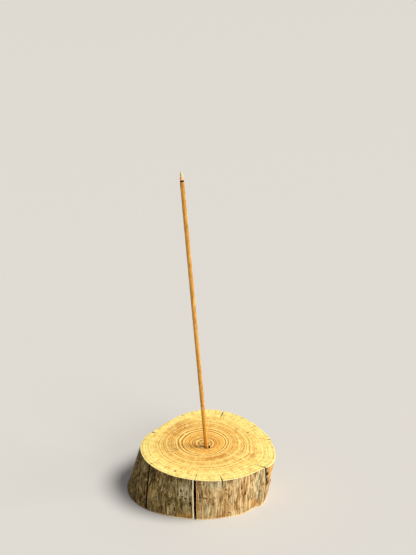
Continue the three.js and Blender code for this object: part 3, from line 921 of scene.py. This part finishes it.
class Strip:
    """One strip of bark. Its working sheet runs from 0 to 1 across and from 0 to 1 up."""

    def __init__(self, node):
        self.node = node
        (self.start_name, self.start), (self.end_name, self.end) = strip_ends(node)
        self.seed = 20 + BARK_NODES.index(node)

    def turns(self, across, height):
        """The real turn of working points, with ragged strips of bare wood left beside the checks."""
        begin = check_turn(self.start, height)
        finish = begin + (check_turn(self.end, height) - begin) % 360
        radius = outer_wall(begin, height)
        ragged = 0.3 * (rough(height / 1.1, 0.5, self.seed) - 0.5)
        ragged_end = 0.3 * (rough(height / 1.1, 7.5, self.seed) - 0.5)
        gap = gape(self.start_name, self.start, np.ones_like(height), height)
        gap_end = gape(self.end_name, self.end, np.ones_like(height), height)
        begin = begin + np.degrees((gap + SETBACK.get(self.start_name, NO_SETBACK)[0] + ragged) / radius)
        setback_end = SETBACK.get(self.end_name, NO_SETBACK)[1]
        finish = finish - np.degrees((gap_end + setback_end + ragged_end) / radius)
        return mix(begin, finish, across)

    def span(self):
        return math.radians((check_turn(self.end, 15) - check_turn(self.start, 15)) % 360) * SHEET_RADIUS

    def place(self, places):
        """The turn and height of working points, and the turn that their fibres have at the top."""
        across, up = places[:, 0] + 0.5, places[:, 1] + 0.5
        height = mix(BARK_FOOT, TOP - BARK_TOP, up)
        turn = self.turns(across, height)
        fibre_turn = self.turns(across, np.full_like(height, TOP))
        # Fibres wander, and both sawn edges are a little ragged.
        edge = (0.32 * rough(turn * 0.8, 2.5, self.seed) - 0.1)
        height = height - edge * smooth(0.9, 1.0, up) + 0.6 * edge * (1 - smooth(0, 0.1, up))
        return turn, height, fibre_turn

    def relief(self, turn, height, fibre_turn):
        """How far each point lies under the outside, in mm, with the marks that colour it."""
        across = np.radians(fibre_turn) * FIBRE_RADIUS
        across = across + 0.9 * (rough(height / 9, fibre_turn / 14, self.seed) - 0.5)
        strand = rough(across / 0.62, height / 7, self.seed, layers=2)
        cord = rough(across / 1.7, height / 12, self.seed + 3, layers=2)
        swell = grain(across / 5.5, height / 17, self.seed + 5)
        lumps = rough(across / 1.1, height / 1.6, self.seed + 7)
        crease = 1 - smooth(0, 0.045, abs(grain(across / 2.7, height / 12, self.seed + 9) - 0.5))
        crease = crease * smooth(0.5, 0.62, grain(across / 4.5, height / 6, self.seed + 11))
        worn = smooth(0.45, 0.6, grain(across / 7, height / 8, self.seed + 13))
        holes = smooth(0.70, 0.80, lumps) * worn
        pit = np.maximum(marks(PITS, turn, height, 0.35), 0.8 * np.maximum(holes, 0.8 * crease))
        ridge = ridge_marks(turn, height)
        depth = 0.14 * (1 - strand) + 0.12 * (1 - cord) + 0.12 * (1 - swell) + 0.08 * (1 - lumps)
        depth = depth * (1 - 0.8 * ridge) + 0.26 * pit
        return np.clip(depth, 0, SHEET - 0.08), pit, ridge, strand

    def shape(self, places):
        turn, height, fibre_turn = self.place(places)
        depth = self.relief(turn, height, fibre_turn)[0]
        depth = np.where(places[:, 2] > 0.5, depth, SHEET)
        out = outer_wall(turn, height) - depth
        bearing = np.radians(turn)
        return np.column_stack([out * np.cos(bearing), out * np.sin(bearing), height])

    def notes(self, places):
        turn, height, fibre_turn = self.place(places)
        _, pit, ridge, strand = self.relief(turn, height, fibre_turn)
        # The tan is partly the bark's own colour, which changes at the front check, and partly painted light
        # on the side that faces the key light.
        face_on = apart(turn, TAN_STARTS)  # the left of the front is grey, the right is tan
        tan = mix(0.7, 1, smooth(2, 24, face_on + 10 * (rough(turn / 9, height / 9, 2) - 0.5)))
        tan = np.where(face_on < -2, 0.0, tan * (1 - 0.5 * smooth(80, 110, face_on)))
        streaks = 0.6 + 0.4 * smooth(0.35, 0.65, grain(fibre_turn / 1.6, height / 9, 31))
        foot = 1 - smooth(0.1, 0.7, height - BARK_FOOT)
        # Painted dark shade in a narrow band along the mouths of the checks that have no pale lip.
        painted_check_shade = np.zeros_like(turn)
        for name in CHECKS.keys() - PALENESS.keys():
            off = apart(turn, check_turn(CHECKS[name], height))
            near = 1 - smooth(0.5, 1.1, np.radians(abs(off)) * FIBRE_RADIUS)
            painted_check_shade = np.maximum(painted_check_shade, near * (height > CHECKS[name]["low"]))
        # The pits' colour is painted shade in them.
        return {"tan": np.clip(tan * streaks + 0.08, 0, 1), "pit": np.clip(pit, 0, 1) * 0.9,
                "pale_ridge": np.clip(np.maximum(ridge * 0.85, 0.55 * foot * (0.4 + strand)), 0, 1),
                "rust": 0.6 * marks(RUSTS, turn, height),
                "brown": np.maximum(0.9 * painted_check_shade,
                                    0.85 * marks(BROWNS, turn, height, 0.5)
                                    * smooth(0.25, 0.6, rough(turn, height / 1.6, 9))),
                "ash_grey": 0.75 * marks(GREYS, turn, height, 0.7)}

    def sheet(self):
        """A flat sheet in working units, without the faces where the bark has flaked off, made a slab."""
        shape = bmesh.new()
        bmesh.ops.create_grid(shape, x_segments=round(self.span() / CELL[0]),
                              y_segments=round(TOP / CELL[1]), size=0.5)
        middles = np.array([f.calc_center_median() for f in shape.faces])
        turn, height, _ = self.place(middles)
        ragged = 5 * (rough(height / 3, turn / 1.5, self.seed, 4) - 0.5)
        gone = bareness(turn + ragged, height + ragged) > 0.5
        for name in (name for name, check in CHECKS.items() if not check["through"]):
            gone |= over_check(name, turn, height)
        bmesh.ops.delete(shape, geom=[f for f, g in zip(list(shape.faces), gone) if g], context="FACES")
        loose = [v for v in shape.verts if not v.link_faces]
        bmesh.ops.delete(shape, geom=loose, context="VERTS")
        moved = bmesh.ops.extrude_face_region(shape, geom=list(shape.faces))["geom"]
        upper = [g for g in moved if isinstance(g, bmesh.types.BMVert)]
        bmesh.ops.translate(shape, verts=upper, vec=(0, 0, 1))
        return shape


def make_bark():
    finish = weathered_inner_bark()
    for node in BARK_NODES:
        strip = Strip(node)
        finish_piece(strip.sheet(), node + "_strip", "burner", [finish],
                     strip.shape, strip.notes, [node])


# ---------------------------------------------------------------- the stick

STICK_AXIS = Vector(next(j["axis"] for j in frame["joints"] if j["name"] == "stick_lift")).normalized()


def along_stick(node):
    """A node's points as heights along the stick and radii round it, and where its axis starts."""
    points = [v.co / MM for v in frame["nodes"][node].data.vertices]
    heights = np.array([p.dot(STICK_AXIS) for p in points])
    start = [p for p, h in zip(points, heights) if h < heights.min() + 0.01]
    foot = sum(start, Vector()) / len(start)
    radii = [(p - foot).cross(STICK_AXIS).length for p in points]
    return foot, heights.max() - heights.min(), max(radii)


STICK_FOOT, STICK_REACH, STICK_RADIUS = along_stick("incense_stick")
STICK_BACK = STICK_AXIS.cross(Vector((1, 0, 0))).normalized()
STAND = Matrix((STICK_BACK.cross(STICK_AXIS), STICK_BACK, STICK_AXIS)).transposed()


def start_height(node):
    """How far up the stick a node starts."""
    return (along_stick(node)[0] - STICK_FOOT).dot(STICK_AXIS)


def stand_up(places):
    """Points round an upright axis, moved on to the leaning stick."""
    return places @ np.array(STAND).T + np.array(STICK_FOOT)


def burnt_shape(wobble, lift):
    """Gives a turned shape an uneven wall: wobble and lift in mm."""
    def shaping(places):
        radius = np.hypot(places[:, 0], places[:, 1])
        turn = np.degrees(np.arctan2(places[:, 1], places[:, 0])) % 360
        seam = turn / 360 * 12
        near, far = (rough(start, places[:, 2] / 0.55, 14) for start in (seam, seam - 12))
        lump = mix(near, far, smooth(300, 360, turn))
        scale = 1 - wobble * lump * smooth(0, 0.2, radius) / np.maximum(radius, 0.2)
        moved = places * np.column_stack([scale, scale, np.ones_like(scale)])
        uneven = grain(places[:, 0] / 0.5 + 9, places[:, 1] / 0.5 + 9, 15)
        moved[:, 2] -= lift * uneven * smooth(0, 0.3, radius)
        return stand_up(moved)
    return shaping


def make_stick():
    edge, sides = 0.2, 40
    wall = np.linspace(edge, STICK_REACH - edge, 520)
    outline = [(0, 0), (STICK_RADIUS - edge, 0)] + [(STICK_RADIUS, h) for h in wall]
    outline += [(STICK_RADIUS - edge, STICK_REACH), (0, STICK_REACH)]

    def shaping(places):
        radius = np.hypot(places[:, 0], places[:, 1])
        turn = np.degrees(np.arctan2(places[:, 1], places[:, 0])) % 360
        height = places[:, 2]
        seam = turn / 360 * 10

        def skin(size, seed):
            near, far = (rough(start / size, height / size, seed) for start in (seam, seam - 10))
            return mix(near, far, smooth(300, 360, turn))

        bumps = smooth(0.68, 0.85, skin(0.8, 4))
        loss = 0.05 * skin(2.5, 1) + 0.05 * skin(0.5, 2) + 0.05 * (1 - bumps)
        scale = 1 - loss / STICK_RADIUS
        return stand_up(places * np.column_stack([scale, scale, np.ones_like(scale)]))

    finish_piece(turned(outline, sides), "incense_rod", "stick", [incense_paste()],
                 shaping, None, ["incense_stick"])


def make_char():
    low, (_, reach, radius) = start_height("char_collar"), along_stick("char_collar")
    steps = np.linspace(0, 1, 9)
    outline = [(0, low), (radius - 0.1, low)]
    outline += [(radius - 0.2 * s ** 2, low + 0.03 + (reach - 0.06) * s) for s in steps]
    outline += [(radius * 0.7, low + reach), (0, low + reach)]
    finish_piece(turned(outline, 48), "char_ring", "stick", [charred_paste()],
                 burnt_shape(0.16, 0.0), None, ["char_collar"])


def make_ember():
    low, (_, reach, radius) = start_height("ember"), along_stick("ember")
    steps = np.linspace(0, 1, 24)[:-1]
    outline = [(0, low)] + [(radius * (1 - s ** 1.8), low + reach * s) for s in steps] + [(0, low + reach)]
    finish_piece(turned(outline, 32), "coal", "stick", [glowing_coal()],
                 burnt_shape(0.08, 0.0), None, ["ember"])


def make_ash():
    """A hollow crust over the coal, tapering to a blunt tip, with a bite out of its left side."""
    low, (_, reach, radius) = start_height("ash_cap"), along_stick("ash_cap")
    ember_top = start_height("ember") + along_stick("ember")[1]
    wall, tip = 0.45, radius * 0.5
    inner = [(0, ember_top + 0.3), (radius * 0.35, ember_top - 0.5),
             (radius - wall, low + 1.5), (radius - wall, low)]
    steps = np.linspace(0, 1, 30)
    outer = [(mix(radius, tip, s ** 2.1), low + (reach - tip) * s) for s in steps]
    rise = np.linspace(0.2, TAU / 4 - 0.2, 6)
    dome = [(tip * math.cos(a), low + reach - tip + tip * math.sin(a)) for a in rise]
    outline = inner + outer + dome + [(0, low + reach)]

    def notes(places):
        up = (places[:, 2] - low) / reach
        side = places[:, 0] / radius
        torn = rough(places[:, 0] / 0.5 + 5, places[:, 2] / 0.7, 12)
        left = 1 - smooth(-0.35, 0.2, side)
        burnt = smooth(0.42, 0.6, up) * (1 - smooth(0.75, 0.95, up))
        return {"warm_glow": left * (1 - smooth(0.36, 0.5, up)) * mix(0.6, 1, torn),
                "scorch": 0.7 * left * burnt * mix(0.5, 1, torn)}

    rumple = burnt_shape(0.3, 0.1)

    def shaping(places):
        bite = blot(places[:, 0], places[:, 2], (-radius, low + reach * 0.52), (0.75, 0.6))
        places = places.copy()
        places[:, 0] += 0.4 * bite
        return rumple(places)

    finish_piece(turned(outline, 48), "ash_crust", "stick", [incense_ash()],
                 shaping, notes, ["ash_cap"])


# ---------------------------------------------------------------- floor, light and camera

def make_stage():
    shape = bmesh.new()
    bmesh.ops.create_grid(shape, x_segments=1, y_segments=1, size=12)
    mesh = bpy.data.meshes.new("table")
    shape.to_mesh(mesh)
    shape.free()
    floor = bpy.data.objects.new("table", mesh)
    bpy.context.scene.collection.objects.link(floor)
    f = Finish("pale_plaster", 0.9, 0.1)
    f.fill(f.shader, {"Base Color": "#c6c4c0"})
    mesh.materials.append(f.material)


def add_light(name, towards, strength, spread, colour):
    """Even light from one side, as soft as the spread in degrees makes it."""
    lamp = bpy.data.lights.new(name, "SUN")
    lamp.energy = strength
    lamp.angle = math.radians(spread)
    lamp.color = linear(colour)[:3]
    light = bpy.data.objects.new(name, lamp)
    light.rotation_euler = Vector(towards).to_track_quat("Z", "Y").to_euler()
    bpy.context.scene.collection.objects.link(light)


def make_light():
    world = bpy.data.worlds.new("studio")
    world.use_nodes = True
    world.node_tree.nodes["Background"].inputs["Color"].default_value = linear("#f4f5f7")
    world.node_tree.nodes["Background"].inputs["Strength"].default_value = 0.28
    bpy.context.scene.world = world
    add_light("high_right_key", (1.1, -0.1, 1.45), 3.6, 24, "#fffbf5")
    add_light("front_fill", (1.15, -1.35, 0.8), 1.2, 30, "#fffcf7")
    bpy.context.scene.view_settings.view_transform = "Standard"


CAMERA_PLACE = (0.0006, -0.4982, 0.3484)  # metres
CAMERA_DIP = 21.01  # degrees below level
CAMERA_LENS, CAMERA_SENSOR = 54.1, 36  # mm


def make_camera():
    camera = bpy.data.cameras.new("camera")
    camera.lens = CAMERA_LENS
    camera.sensor_width = CAMERA_SENSOR
    camera.sensor_fit = "AUTO"
    camera.clip_start = 0.01
    holder = bpy.data.objects.new("camera", camera)
    holder.location = CAMERA_PLACE
    holder.rotation_euler = (math.radians(90 - CAMERA_DIP), 0, 0)
    bpy.context.scene.collection.objects.link(holder)
    bpy.context.scene.camera = holder


make_camera()
make_slice()
make_bark()
make_stick()
make_char()
make_ember()
make_ash()
make_stage()
make_light()
